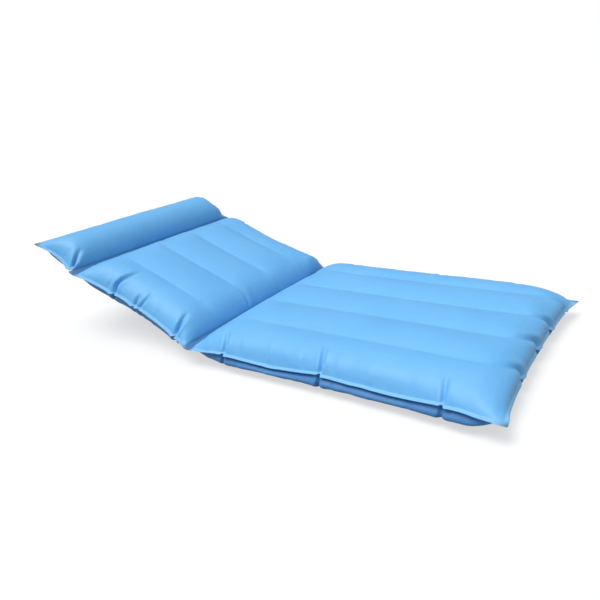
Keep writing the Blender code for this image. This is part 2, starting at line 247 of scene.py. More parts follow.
def inflate(sec, cell=0.010, pressure=5.0, stiffness=40.0, frames=20, slack=1.012):
    X, (s, t, long, wide), columns = start_sheet(sec, cell)
    nu, nv = X.shape[0] - 1, X.shape[1] - 1
    start = dip(sec, X.copy()) if sec.webs else X.copy()
    X[..., 2] *= 0.96
    # a little unevenness, so that the slack cloth along the seams buckles the way real sheet does
    U, Y = X[..., 0], X[..., 1]
    edge = np.exp(-((sec.half_width(U, Y) - np.abs(Y)) / 0.05) ** 2)
    X[..., 2] += edge * waves(U, 3.0, 0.0030, 0.16) * np.clip(X[..., 2] / 0.03, 0, 1)
    edge = np.exp(-(np.minimum(U - sec.u0, sec.end(Y) - U) / 0.05) ** 2)
    X[..., 2] += edge * waves(Y, 5.0, 0.0025, 0.14) * np.clip(X[..., 2] / 0.03, 0, 1)
    R = np.zeros_like(X)
    # a little more cloth towards the rim, which keeps the outer channels full
    R[..., 0] = ((s + 0.010 * np.sin(2 * math.pi * (s - 0.5))) * long * slack)[:, None]
    R[..., 1] = ((t - 0.5 - 0.006 * np.sin(2 * math.pi * (t - 0.5))) * wide * slack)[None]
    index = np.arange((nu + 1) * (nv + 1)).reshape(nu + 1, nv + 1)
    faces = np.stack([index[:-1, :-1], index[1:, :-1], index[1:, 1:], index[:-1, 1:]], -1).reshape(-1, 4)
    count = index.size
    anchors, anchors_rest, ties = [], [], []
    for j, y in zip(columns, WEB_Y):
        for i in range(nu + 1):
            u = X[i, j, 0]
            if u - sec.u0 > WEB_END - 0.006 and float(sec.end(np.array(y))) - u > WEB_END - 0.006:
                ties.append((int(index[i, j]), count + len(anchors)))
                anchors.append((u, y, 0.0))
                anchors_rest.append((R[i, j, 0], R[i, j, 1], -0.0535))
    verts = np.vstack([X.reshape(-1, 3)] + ([np.array(anchors)] if anchors else []))
    rest = np.vstack([R.reshape(-1, 3)] + ([np.array(anchors_rest)] if anchors else []))
    mesh = bpy.data.meshes.new("inflating")
    mesh.from_pydata(verts.tolist(), ties, faces.tolist())
    mesh.update()
    sheet = bpy.data.objects.new("inflating", mesh)
    bpy.context.scene.collection.objects.link(sheet)
    sheet.shape_key_add(name="Basis")
    key = sheet.shape_key_add(name="flat")
    key.data.foreach_set("co", rest.ravel())
    key.value = 0
    rim = np.zeros((nu + 1, nv + 1), bool)
    rim[0] = rim[-1] = rim[:, 0] = rim[:, -1] = True
    group = sheet.vertex_groups.new(name="rim")
    group.add([int(i) for i in index[rim]] + list(range(count, len(verts))), 1.0, "REPLACE")
    cloth = sheet.modifiers.new("cloth", "CLOTH")
    set_ = cloth.settings
    set_.quality, set_.mass, set_.air_damping = 6, 0.15, 2
    set_.tension_stiffness = set_.compression_stiffness = stiffness
    set_.shear_stiffness, set_.bending_stiffness = stiffness * 0.3, 0.05
    set_.tension_damping = set_.compression_damping = set_.shear_damping = 5
    set_.bending_damping = 0.5
    set_.vertex_group_mass, set_.pin_stiffness = "rim", 1
    set_.rest_shape_key = key
    set_.use_pressure, set_.uniform_pressure_force, set_.use_pressure_volume = True, pressure, False
    set_.effector_weights.gravity = 0
    cloth.collision_settings.use_collision = False
    cloth.collision_settings.use_self_collision = False
    cloth.point_cache.frame_start, cloth.point_cache.frame_end = 1, frames
    scene = bpy.context.scene
    for f in range(1, frames + 1):
        scene.frame_set(f)
    graph = bpy.context.evaluated_depsgraph_get()
    done = sheet.evaluated_get(graph).to_mesh()
    co = np.empty(len(done.vertices) * 3)
    done.vertices.foreach_get("co", co)
    P = co.reshape(-1, 3)[:count].reshape(nu + 1, nv + 1, 3).copy()
    bpy.data.objects.remove(sheet, do_unlink=True)
    bpy.data.meshes.remove(mesh)
    scene.frame_set(1)
    moved = np.linalg.norm(P - X, axis=-1)
    print(sec.name, "inflated: moved at most %.4f, top %.4f" % (moved.max(), P[..., 2].max()))
    # as tall as the CAD sheet: the crests to their height, and the grooves to theirs
    U, Y, N = P[..., 0], P[..., 1], P[..., 2]
    if sec.webs:
        h = held(sec, U, Y)
        place = np.abs((np.abs(Y) + 0.09) / 0.18 % 1.0 - 0.5) * 2
        crest = np.median(N[(h > 0.95) & (place < 0.15)])
        N *= CREST / crest
        low = np.median(np.concatenate([N[(h > 0.95) & (np.abs(Y - y) < 0.006)] for y in WEB_Y]))
        print(sec.name, "groove %.4f before levelling, crest %.4f" % (low, crest))
        for y in WEB_Y:
            N -= (low - GROOVE) * h * np.exp(-np.abs((Y - y) / 0.030) ** 1.5)
    else:
        N *= 0.0625 / np.median(N[nu // 2 - 1 : nu // 2 + 2, nv // 3 : -nv // 3])
    P[..., 2] = np.maximum(N, 0)
    # the corners are drawn smooth by their welded tips, so the simulated folds are ironed out there
    corner = np.minimum(U - sec.u0, sec.end(Y) - U) + (sec.half_width(U, Y) - np.abs(Y))
    calm = 0.10 + 0.90 * smooth((0.42 - corner) / 0.16)
    for _ in range(16):
        middle = 0.25 * (P[2:, 1:-1] + P[:-2, 1:-1] + P[1:-1, 2:] + P[1:-1, :-2])
        step = 0.6 * calm[1:-1, 1:-1, None]
        if sec.webs:  # the grooves stay sharp
            line = sum(np.exp(-(((Y - y) / 0.012) ** 2)) for y in WEB_Y)[1:-1, 1:-1, None]
            step = step * (1 - np.clip(line * held(sec, U, Y)[1:-1, 1:-1, None], 0, 1))
        P[1:-1, 1:-1] += step * (middle - P[1:-1, 1:-1])
    return P * 0.80 + start * 0.20


# ---------------------------------------------------------------------------- creases

# Each crease is a path in (u, y) from the seam inwards, its depth, and its half width at the seam and
# at its inner end. Their places on the near long side and the foot end are read off the photo.
CREASES = {
    "leg": [
        ([(0.028, -0.440), (0.034, -0.400), (0.040, -0.380)], 0.006, 0.004, 0.009),
        ([(0.147, -0.430), (0.140, -0.400), (0.128, -0.372), (0.120, -0.345)], 0.010, 0.0040, 0.009),
        ([(0.504, -0.416), (0.501, -0.395), (0.492, -0.360), (0.486, -0.330)], 0.012, 0.0040, 0.010),
        ([(0.878, -0.428), (0.875, -0.405), (0.870, -0.378), (0.868, -0.352)], 0.010, 0.0040, 0.009),
        ([(1.020, 0.166), (1.012, 0.152), (1.000, 0.130), (0.975, 0.106), (0.940, 0.092)], 0.012, 0.005, 0.014),
        ([(1.014, 0.006), (1.006, -0.014), (0.992, -0.048), (0.968, -0.078), (0.935, -0.090)], 0.012, 0.005, 0.014),
        ([(1.018, -0.190), (1.010, -0.206), (0.994, -0.238), (0.968, -0.262), (0.935, -0.270)], 0.011, 0.005, 0.014),
        ([(1.030, 0.330), (1.010, 0.318), (0.975, 0.290), (0.945, 0.272)], 0.008, 0.005, 0.012),
        ([(0.180, 0.430), (0.186, 0.395), (0.194, 0.365)], 0.008, 0.0045, 0.010),
        ([(0.560, 0.416), (0.566, 0.386), (0.572, 0.355)], 0.009, 0.0045, 0.010),
        ([(0.860, 0.428), (0.852, 0.390), (0.846, 0.365)], 0.008, 0.0045, 0.010),
    ],
    "back": [
        ([(0.388, -0.412), (0.400, -0.398), (0.396, -0.380), (0.382, -0.350), (0.366, -0.300)], 0.018, 0.005, 0.010),
        ([(0.289, -0.408), (0.290, -0.396), (0.286, -0.385)], 0.009, 0.0045, 0.008),
        ([(0.262, -0.402), (0.257, -0.388), (0.254, -0.352)], 0.007, 0.0045, 0.010),
        ([(0.072, -0.428), (0.080, -0.404), (0.086, -0.376), (0.090, -0.350)], 0.016, 0.0045, 0.010),
        ([(0.180, 0.414), (0.184, 0.390), (0.190, 0.366)], 0.007, 0.0045, 0.010),
        ([(0.450, 0.414), (0.440, 0.390), (0.432, 0.368)], 0.007, 0.0045, 0.010),
        ([(0.020, -0.090), (0.050, -0.086), (0.090, -0.088)], 0.0045, 0.006, 0.013),
        ([(0.020, 0.120), (0.050, 0.110), (0.090, 0.095)], 0.0045, 0.006, 0.013),
    ],
    "pillow": [
        ([(0.024, -0.432), (0.036, -0.408), (0.050, -0.384), (0.064, -0.356)], 0.017, 0.0042, 0.009),
        ([(0.170, 0.430), (0.160, 0.400), (0.150, 0.375)], 0.007, 0.0045, 0.010),
        ([(0.206, 0.12), (0.180, 0.115), (0.150, 0.110)], 0.006, 0.006, 0.012),
        ([(0.206, -0.17), (0.180, -0.178), (0.150, -0.180)], 0.006, 0.006, 0.012),
    ],
}


def crease_depth(P, path, depth, w0, w1):
    """How far each point is pressed in by one crease. The cloth stands proud on both its sides."""
    U, Y = P[..., 0], P[..., 1]
    path = np.array(path, float)
    legs = np.linalg.norm(np.diff(path, axis=0), axis=1)
    total, run = legs.sum(), 0.0
    best = np.full(U.shape, 1e9)
    at = np.zeros(U.shape)
    for k, length in enumerate(legs):
        a, d = path[k], (path[k + 1] - path[k]) / length
        f = np.clip((U - a[0]) * d[0] + (Y - a[1]) * d[1], -0.02 if k == 0 else 0, length)
        away = np.hypot(U - a[0] - f * d[0], Y - a[1] - f * d[1])
        near = away < best
        best = np.where(near, away, best)
        at = np.where(near, np.clip((run + f) / total, 0, 1), at)
        run += length
    w = w0 + (w1 - w0) * at
    keep = (1 - at) ** 0.8
    valley = np.exp(-((best / w) ** 2))
    shoulder = 0.22 * np.exp(-(((best - 2.4 * w) / (1.4 * w)) ** 2))
    return depth * keep * (valley - shoulder)


def normals(P):
    a, b = np.gradient(P, axis=0), np.gradient(P, axis=1)
    n = np.cross(a, b)
    n /= np.linalg.norm(n, axis=-1, keepdims=True) + 1e-12
    return np.where(n[..., 2:].mean() < 0, -n, n)


def press(sec, P):
    """The creases pressed in, square to the surface on top and within the weld plane at the rim."""
    n = normals(P)
    low = smooth(P[..., 2] / 0.016)[..., None]
    n = n * np.concatenate([np.ones_like(n[..., :2]), low], -1)
    n /= np.linalg.norm(n, axis=-1, keepdims=True) + 1e-9
    D = sum(crease_depth(P, *c) for c in CREASES[sec.name]) * smooth((P[..., 0] - 0.008) / 0.020)
    # small puckers that run in from the seams
    from_side = np.maximum(sec.half_width(P[..., 0], P[..., 1]) - np.abs(P[..., 1]), 0)
    from_end = np.maximum(np.minimum(P[..., 0] - sec.u0, P[-1:, :, 0] - P[..., 0]), 0)
    side = waves(P[..., 0] + 0.25 * from_side, 31 + len(sec.name), 0.0013, 0.085, 5)
    other = waves(P[..., 1] * 1.03 + 0.2 * from_end, 47 + len(sec.name), 0.0010, 0.085, 5)
    D = D + low[..., 0] * (side * np.exp(-from_side / 0.040) + other * np.exp(-from_end / 0.035))
    P = P - n * D[..., None]
    P[..., 2] = np.maximum(P[..., 2], 0)
    # the rim steps up on one side of a pinch and down on the other, and is never quite straight
    lift = waves(P[..., 0] + P[..., 1], len(sec.name), 0.0012, 0.22)
    for path, depth, _, _ in CREASES[sec.name]:
        (u, y) = path[0]
        if abs(y) > 0.38:
            d = P[..., 0] - u
            at_side = smooth((np.sign(y) * P[..., 1] - 0.36) / 0.04)
        elif u > 0.9:
            d = P[..., 1] - y
            at_side = smooth((P[..., 0] - 0.98) / 0.03)
        else:
            continue
        stem = np.exp(-((P[..., 0] - sec.valve_u) / 0.03) ** 2) if y > 0.38 else 0.0
        lift = lift - at_side * (1 - stem) * 0.30 * depth * np.tanh(d / 0.006) * np.exp(-np.abs(d) / 0.040)
    if sec.name == "leg":
        # the far corner of the foot end droops, and the near rim sags between its pinches
        lift = lift - 0.011 * np.exp(-((np.hypot(sec.length - P[..., 0], HALF - P[..., 1]) / 0.048) ** 2))
        near = smooth((-P[..., 1] - 0.36) / 0.04)
        for a, b, deep in ((0.147, 0.504, 0.011), (0.504, 0.878, 0.008)):
            lift = lift - deep * near * np.sin(math.pi * np.clip((P[..., 0] - a) / (b - a), 0, 1))
    if sec.name == "back":  # the far rim curls up beside the fold
        lift = lift + 0.012 * np.exp(-(((P[..., 0] - 0.036) / 0.032) ** 2)) * smooth((P[..., 1] - 0.35) / 0.06)
    if sec.webs:
        middle = smooth((sec.half_width(P[..., 0]) - HALF + RIM) / -0.012)
        lift = lift + 0.0035 * middle * smooth((-P[..., 1] - 0.36) / 0.04)
    hinge = smooth((P[..., 0] - 0.012) / 0.03)
    if sec.name == "back":
        hinge = hinge * smooth((sec.length - 0.012 - P[..., 0]) / 0.03)
    lift = lift * hinge * (1 - np.exp(-((P[..., 0] - sec.valve_u) / 0.035) ** 2) * (P[..., 1] > 0.3))
    return P, lift


# ---------------------------------------------------------------------------- a section's cover

def boat(along):
    a = np.abs(along)
    return np.interp(a, [x for x, _ in BOAT], [z for _, z in BOAT], right=0.0)


def swing_clear(sec, P):
    """The walls beside a fold lean back enough for the sections to fold against each other."""
    U, N = P[..., 0], P[..., 2]
    P[..., 0] = np.maximum(U, N / math.tan(sec.open_angle))
    if sec.far_angle:
        P[..., 0] = np.minimum(P[..., 0], sec.length - N / math.tan(sec.far_angle))
    return P


def cover(sec, materials):
    cell = 0.010
    P0 = inflate(sec, cell)
    nu, nv = P0.shape[0] - 1, P0.shape[1] - 1
    dense_u, dense_v = [], []
    edge_near, edge_end = P0[:, 0, 0], P0[-1, :, 1]
    edge_far = P0[:, -1, 0]
    for path, depth, w0, w1 in CREASES[sec.name]:
        u, y = path[0]
        if abs(y) > 0.38:
            line = edge_near if y < 0 else edge_far
            dense_u.append((float(np.interp(u, line, np.arange(nu + 1))), 1.8, 0.24))
        elif u > 0.15:
            dense_v.append((float(np.interp(y, edge_end, np.arange(nv + 1))), 1.8, 0.24))
    dense_u.append((float(np.interp(sec.valve_u, edge_far, np.arange(nu + 1))), 1.8, 0.22))
    if sec.webs:
        for y in WEB_Y:
            dense_v.append((float(np.interp(y, P0[nu // 2, :, 1], np.arange(nv + 1))), 1.2, 0.33))
    for dense, n in ((dense_u, nu), (dense_v, nv)):
        dense += [(0.0, 2.0, 0.36), (float(n), 2.0, 0.36)]
    iu, iv = graded(nu, 0.62, dense_u), graded(nv, 0.62, dense_v)
    P = catmull(catmull(P0, iu, 0), iv, 1)
    P[..., 2] = np.maximum(P[..., 2], 0)
    cloth_u, cloth_v = iu * cell, iv * cell
    # the far long side stands steeper than the near one
    steep = {"leg": 0.016, "back": 0.012, "pillow": 0.020}[sec.name]
    P[..., 1] += steep * smooth(P[..., 2] / 0.030) * smooth((P[..., 1] - 0.27) / 0.10)
    if sec.name == "leg":  # the channels are full right up to the foot end, which is steep
        inside = P[-1:, :, 0] - P[..., 0]
        along = smooth((P[..., 0] - 0.40) / 0.50) * smooth((HALF - 0.012 - np.abs(P[..., 1])) / 0.14)
        P[..., 0] += 0.056 * (1 - np.exp(-np.maximum(inside, 0) / 0.075)) * along
        out = np.sin(np.clip(P[..., 2] / 0.066, 0, 1) * math.pi) * smooth((P[..., 0] - sec.length + 0.09) / 0.05)
        P[..., 0] += 0.005 * out * smooth((HALF - np.abs(P[..., 1])) / 0.16)
        P[..., 2] *= 1 - 0.10 * smooth((P[..., 0] - sec.length + 0.110) / 0.090)
        # the far channel stands a little fuller than the others
        P[..., 2] += 0.0045 * smooth(P[..., 2] / 0.05) * smooth((P[..., 1] - 0.26) / 0.06)
        corner = np.hypot(sec.length - P[..., 0], HALF - P[..., 1])
        P[..., 2] *= 1 - 0.38 * np.exp(-((corner / 0.150) ** 2))
    if sec.name == "back":  # its far corner at the fold is full
        full = np.exp(-(((P[..., 0] - 0.050) / 0.040) ** 2)) * smooth((P[..., 1] - 0.30) / 0.07)
        P[..., 2] += 0.013 * full * smooth(P[..., 2] / 0.020) * smooth((0.075 - P[..., 2]) / 0.03)
    P, lift = press(sec, P)
    P = swing_clear(sec, P)

    # the underside: the same cushion, pressed flat where it rests
    B = P.copy()
    x = P[..., 2] * (0.96 if sec.webs else 0.97) / FLOOR_DEPTH
    B[..., 2] = FLOOR_DEPTH * np.minimum(1.0, -np.log(np.exp(-16 * x) + math.exp(-16)) / 16)
    B[..., 2] = np.where(x <= 0, 0, B[..., 2])
    if sec.webs:
        for y in WEB_Y:
            groove = 0.0085 * held(sec, B[..., 0], B[..., 1]) * np.exp(-((B[..., 1] - y) / 0.016) ** 2)
            B[..., 2] -= groove
    near_reach = 0.010
    if sec.name == "leg":  # the lower sheet bellies out most at mid length
        near_reach = 0.010 + 0.023 * smooth(P[..., 0] / 0.22) * smooth((sec.length - P[..., 0]) / 0.11)
    reach = np.where(P[..., 1] < 0, near_reach, 0.008) * smooth(B[..., 2] / 0.028)
    B[..., 1] += np.sign(P[..., 1]) * reach * smooth((np.abs(P[..., 1]) - 0.28) / 0.09)

    # the stem's root lifts the rim off the weld plane
    root = (boat(P[..., 0] - sec.valve_u) + 0.0008) * (boat(P[..., 0] - sec.valve_u) > 0)
    from_side = sec.half_width(P[..., 0], 1.0) - P[..., 1]
    bump = root * np.clip(1 - np.maximum(from_side, 0) / 0.02, 0, 1)

    top_n = np.maximum(P[..., 2], bump) + SKIN
    low_n = np.maximum(B[..., 2], bump) + SKIN
    T = np.stack([P[..., 0], P[..., 1], top_n + lift * np.exp(-((P[..., 2] / 0.022) ** 2))], -1)
    L = np.stack([B[..., 0], B[..., 1], -low_n + lift * np.exp(-((B[..., 2] / 0.022) ** 2))], -1)

    # the welded rim: rows and columns outside the chamber
    steps = np.array([0.12, 0.35, 0.62, 0.86, 1.0])

    def skirt(G, sign):
        m, k = G.shape[:2]
        r = len(steps)
        out = np.zeros((m + 2 * r, k + 2 * r, 3))
        out[r : r + m, r : r + k] = G
        for a, share in enumerate(steps):
            thin = 1.0 if share < 0.95 else 0.35
            for col, src, way in ((r - 1 - a, r, -1), (r + k + a, r + k - 1, 1)):
                out[r : r + m, col] = out[r : r + m, src]
                out[r : r + m, col, 1] += way * share * RIM
                if thin < 1:
                    out[r : r + m, col, 2] -= sign * SKIN * (1 - thin)
        for a, share in enumerate(steps):
            thin = 1.0 if share < 0.95 else 0.35
            first, last = r - 1 - a, r + m + a
            out[first] = out[r]
            out[first, :, 0] = sec.u0 + share * (BAND_START - sec.u0)
            reach = sec.length - BAND_START if sec.name == "back" else sec.length
            out[last] = out[r + m - 1]
            hang = smooth((HALF - 0.020 - np.abs(out[last, :, 1])) / 0.07) if sec.name == "leg" else 0.0
            out[last, :, 0] += share * (reach - sec.u1) * (1 - 0.55 * hang)
            out[last, :, 2] -= share * 0.0095 * hang
            if thin < 1:
                for row in (first, last):
                    out[row, r : r + k, 2] -= sign * SKIN * (1 - thin)
        return out

    T, L = skirt(T, 1), skirt(L, -1)
    r = len(steps)
    uvs = np.zeros(T.shape[:2] + (2,))
    uvs[r:-r, r:-r, 0], uvs[r:-r, r:-r, 1] = cloth_u[:, None], cloth_v[None]
    for a, share in enumerate(steps):
        uvs[r - 1 - a], uvs[-r + a] = uvs[r], uvs[-r - 1]
        uvs[r - 1 - a, :, 0] -= share * RIM
        uvs[-r + a, :, 0] += share * RIM
    for a, share in enumerate(steps):
        uvs[:, r - 1 - a], uvs[:, -r + a] = uvs[:, r], uvs[:, -r - 1]
        uvs[:, r - 1 - a, 1] -= share * RIM
        uvs[:, -r + a, 1] += share * RIM
    # the rim mask, which the material paints paler: partly the fused weld's tone, partly a painted highlight along the
    # flange edge
    rim = np.ones(T.shape[:2])
    rim[:r] = 0.0  # along a fold the cloth goes on into the weld
    if sec.name == "back":
        rim[-r:] = 0.0
    rim[r:-r, r:-r] = np.exp(-((P[..., 2] / 0.0016) ** 2))
    corner = np.minimum(np.abs(T[..., 0]), np.abs(sec.length - T[..., 0]))
    tip = np.exp(-(np.hypot(corner, HALF - np.abs(T[..., 1])) / 0.019) ** 2)

    m, k = T.shape[:2]
    verts = np.concatenate([sec.world(T).reshape(-1, 3), sec.world(L).reshape(-1, 3)])
    index = np.arange(m * k).reshape(m, k)
    quads = np.stack([index[:-1, :-1], index[1:, :-1], index[1:, 1:], index[:-1, 1:]], -1).reshape(-1, 4)
    ring = np.concatenate([index[0, :-1], index[:-1, -1], index[-1, :0:-1], index[:0:-1, 0]])
    nxt = np.roll(ring, -1)
    wall = np.stack([ring, nxt, nxt + m * k, ring + m * k], -1)
    faces = np.concatenate([quads, quads[:, ::-1] + m * k, wall])
    mesh = bpy.data.meshes.new(f"{sec.name}_cover")
    mesh.from_pydata(verts.tolist(), [], faces.tolist())
    uv_all = np.concatenate([uvs.reshape(-1, 2), uvs.reshape(-1, 2) + [0.013, 0.007]])
    corners = np.empty(len(mesh.loops), np.int32)
    mesh.loops.foreach_get("vertex_index", corners)
    layer = mesh.uv_layers.new(name="cloth")
    layer.data.foreach_set("uv", uv_all[corners].astype(np.float32).ravel())
    # the colour attribute holds the rim mask (partly a painted highlight), the corner tips, and the painted shade
    # beside the folds
    shade = mesh.color_attributes.new("wear", "FLOAT_COLOR", "POINT")
    # painted shade: the cloth is darkened beside a fold's weld, for the shade in the fold's crease
    painted_shade_at_fold = np.zeros(T.shape[:2])
    painted_shade_at_fold[:r] = 1.0
    painted_shade_at_fold[r:-r, r:-r] = np.exp(-((P[..., 2] / 0.007) ** 2)) * smooth((0.022 - P[..., 0]) / 0.008)
    if sec.name == "back":
        painted_shade_at_fold[-r:] = 1.0
        far = np.exp(-((P[..., 2] / 0.007) ** 2)) * smooth((P[..., 0] - sec.length + 0.022) / 0.008)
        painted_shade_at_fold[r:-r, r:-r] = np.maximum(painted_shade_at_fold[r:-r, r:-r], far)
    values = np.stack([np.tile(rim.ravel(), 2), np.tile(tip.ravel(), 2), np.tile(painted_shade_at_fold.ravel(), 2), np.ones(2 * m * k)], -1)
    shade.data.foreach_set("color", values.astype(np.float32).ravel())
    for mat in materials:
        mesh.materials.append(mat)
    slots = np.zeros(len(faces), np.int32)
    # the underside's faces take the second material, the darker painted-shade copy of the nylon
    slots[len(quads) : 2 * len(quads)] = 1
    mesh.polygons.foreach_set("material_index", slots)
    bm = bmesh.new()
    bm.from_mesh(mesh)
    bmesh.ops.recalc_face_normals(bm, faces=bm.faces)
    bm.to_mesh(mesh)
    bm.free()
    mesh.shade_smooth()
    obj = bpy.data.objects.new(f"{sec.name}_cover", mesh)
    bpy.context.scene.collection.objects.link(obj)
    return obj


# ---------------------------------------------------------------------------- welded folds

def fold_strip(name, first, second, mat):
    """The flat welded band across a fold, thin, with a raised bead along its middle. It follows the
    first section's plane on one side of the axis and the second's on the other."""
    half, reach = HALF - 0.0015, 0.0092
    profile = [(reach, 0.0011), (0.0080, 0.0016), (0.0060, 0.0016), (0.0046, 0.0015), (0.0032, 0.0016),
               (0.0018, 0.0017), (0.0009, 0.0026), (0.0, 0.0029)]  # fmt: skip
    line = profile + [(-u, n) for u, n in reversed(profile[:-1])]
    line = line + [(u, -n) for u, n in reversed(line)]
    ys = np.concatenate([[-half, -half + 0.001], np.linspace(-half + 0.004, half - 0.004, 220), [half - 0.001, half]])
    verts = []
    turn = first.tilt if first.side == second.side else 0.0
    for y in ys:
        thin = 0.45 if abs(y) > half - 0.0005 else 1.0
        knurl = 1.0 + 0.10 * math.sin(y * 2 * math.pi / 0.0131)
        for u, n in line:
            n = n * thin * (knurl if abs(u) < 0.0012 else 1.0)
            if u >= 0:
                p = first_side(first, second, u, y, n)
            else:
                p = second.world(np.array([-u, y, n]))
            verts.append(tuple(p))
    k = len(line)
    faces = []
    for a in range(len(ys) - 1):
        for b in range(k):
            c = (b + 1) % k
            faces.append((a * k + b, a * k + c, (a + 1) * k + c, (a + 1) * k + b))
    faces.append(tuple(range(k)))
    faces.append(tuple(range((len(ys) - 1) * k, len(ys) * k))[::-1])
    mesh = bpy.data.meshes.new(name)
    mesh.from_pydata(verts, [], faces)
    layer = mesh.uv_layers.new(name="cloth")
    co = np.array([(i % k * 0.0015, ys[i // k]) for i in range(len(verts))])
    corners = np.empty(len(mesh.loops), np.int32)
    mesh.loops.foreach_get("vertex_index", corners)
    layer.data.foreach_set("uv", co[corners].astype(np.float32).ravel())
    bm = bmesh.new()
    bm.from_mesh(mesh)
    bmesh.ops.recalc_face_normals(bm, faces=bm.faces)
    bm.to_mesh(mesh)
    bm.free()
    mesh.shade_smooth()
    mesh.materials.append(mat)
    obj = bpy.data.objects.new(name, mesh)
    bpy.context.scene.collection.objects.link(obj)
    return obj


def first_side(first, second, u, y, n):
    """A point on the first section's side of the fold, u away from the fold's axis."""
    if first.side == second.side:  # the pillow fold: the back section reaches it from below
        return first.world(np.array([first.length - u, y, n]))
    return first.world(np.array([u, y, n]))


# ---------------------------------------------------------------------------- screw caps

def cap_mesh(name, r=0.0106, length=0.0150, inner=0.0069, depth=0.0134, flutes=30, per=6):
    """A moulded screw cap along +Z: fluted grip, plain skirt, rounded edges and a dished end."""
    count = flutes * per
    rows = [  # (radius, z, share of the fluting)
        (inner, depth * 0.10, 0), (inner, 0.0, 0), (inner + 0.0004, -0.0000, 0), (r - 0.0010, 0.0000, 0),
        (r - 0.0004, 0.0003, 0), (r - 0.0002, 0.0008, 0), (r - 0.0002, 0.0022, 0), (r - 0.0004, 0.0027, 0),
        (r - 0.0001, 0.0031, 0.5), (r, 0.0036, 1), (r, 0.0080, 1), (r, length - 0.0022, 1),
        (r - 0.0002, length - 0.0014, 0.8), (r - 0.0009, length - 0.0006, 0.35), (r - 0.0019, length - 0.0001, 0.08),
        (r - 0.0026, length, 0), (r - 0.0034, length - 0.0001, 0), (r - 0.0040, length - 0.0006, 0),
        (r - 0.0052, length - 0.0007, 0), (0.0016, length - 0.0006, 0),
    ]  # fmt: skip
    bm = bmesh.new()
    rings = []
    for radius, z, share in rows:
        ring = []
        for k in range(count):
            angle = 2 * math.pi * k / count
            groove = 0.00075 * share * (0.5 - 0.5 * math.cos(angle * flutes)) ** 1.6
            ring.append(bm.verts.new(((radius - groove) * math.cos(angle), (radius - groove) * math.sin(angle), z)))
        rings.append(ring)
    for a, b in zip(rings, rings[1:]):
        for k in range(count):
            m = (k + 1) % count
            bm.faces.new((a[k], a[m], b[m], b[k]))
    for ring, z in ((rings[-1], rows[-1][1]), (rings[0], rows[0][1])):
        middle = bm.verts.new((0, 0, z))
        for k in range(count):
            bm.faces.new((ring[k], ring[(k + 1) % count], middle))
    bmesh.ops.recalc_face_normals(bm, faces=bm.faces)
    mesh = bpy.data.meshes.new(name)
    bm.to_mesh(mesh)
    bm.free()
    mesh.shade_smooth()
    mesh.set_sharp_from_angle(angle=math.radians(50))
    return mesh


def add_cap(sec, mat):
    node = f"{sec.name}_valve_cap"
    low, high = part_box(node)
    obj = bpy.data.objects.new(f"{sec.name}_screw_cap", cap_mesh(f"{sec.name}_screw_cap", length=high.y - low.y))
    bpy.context.scene.collection.objects.link(obj)
    obj.data.materials.append(mat)
    obj.matrix_world = Matrix.Translation(((low.x + high.x) / 2, low.y, (low.z + high.z) / 2)) @ Matrix.Rotation(
        math.radians(-90), 4, "X"
    )
    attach(obj, f"{sec.name}_cap")
    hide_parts(node)
    return obj


# ---------------------------------------------------------------------------- materials

class Nodes:
    """Shorthand for wiring one material's nodes."""

    def __init__(self, name):
        self.material = bpy.data.materials.new(name)
        self.material.use_nodes = True
        self.tree = self.material.node_tree
        self.shader = self.tree.nodes["Principled BSDF"]

    def add(self, kind, ins=(), **settings):
        node = self.tree.nodes.new("ShaderNode" + kind)
        for key, value in settings.items():
            setattr(node, key, value)
        for key, value in dict(ins).items():
            if isinstance(value, bpy.types.NodeSocket):
                self.tree.links.new(value, node.inputs[key])
            else:
                node.inputs[key].default_value = value
        return node

    def maths(self, op, a, b=0.0, clamp=False):
        return self.add("Math", {0: a, 1: b}, operation=op, use_clamp=clamp).outputs[0]

    def mix(self, share, a, b):
        node = self.add("Mix", data_type="RGBA")
        for key, value in (("Factor", share), ("A", a), ("B", b)):
            found = [s for s in node.inputs if s.name == key and s.enabled][0]
            if isinstance(value, bpy.types.NodeSocket):
                self.tree.links.new(value, found)
            else:
                found.default_value = value
        return [s for s in node.outputs if s.enabled][0]

    def remap(self, value, low, high, to_low, to_high):
        return self.add(
            "MapRange", {"Value": value, "From Min": low, "From Max": high, "To Min": to_low, "To Max": to_high}
        ).outputs["Result"]

    def noise(self, vector, scale, detail=2.0, rough=0.5, distortion=0.0):
        return self.add(
            "TexNoise",
            {"Vector": vector, "Scale": scale, "Detail": detail, "Roughness": rough, "Distortion": distortion},
        ).outputs["Fac"]

    def bump(self, height, strength, distance, below=None):
        ins = {"Height": height, "Strength": strength, "Distance": distance}
        if below is not None:
            ins["Normal"] = below
        return self.add("Bump", ins).outputs["Normal"]

    def to(self, socket, value):
        if isinstance(value, bpy.types.NodeSocket):
            self.tree.links.new(value, self.shader.inputs[socket])
        else:
            self.shader.inputs[socket].default_value = value


def scaled(n, uv, x, y, turn=0.0):
    return n.add("Mapping", {"Vector": uv, "Scale": (x, y, 1.0), "Rotation": (0, 0, turn)}).outputs["Vector"]


def weave(n, uv, pitch):
    """Height of a plain weave: two sets of threads, over and under in turn."""
    a = n.add("TexWave", {"Vector": scaled(n, uv, 1 / pitch, 0.0), "Scale": 0.31831}, wave_type="BANDS").outputs["Fac"]
    b = n.add(
        "TexWave", {"Vector": scaled(n, uv, 0.0, 1 / pitch), "Scale": 0.31831}, wave_type="BANDS", bands_direction="Y"
    ).outputs["Fac"]
    check = n.add("TexChecker", {"Vector": scaled(n, uv, 1 / pitch, 1 / pitch), "Scale": 1.0}).outputs["Fac"]
    over = n.add("Mix", data_type="FLOAT")
    sockets = {s.name: s for s in over.inputs if s.enabled}
    for key, value in (("Factor", check), ("A", a), ("B", b)):
        n.tree.links.new(value, sockets[key])
    return [s for s in over.outputs if s.enabled][0]


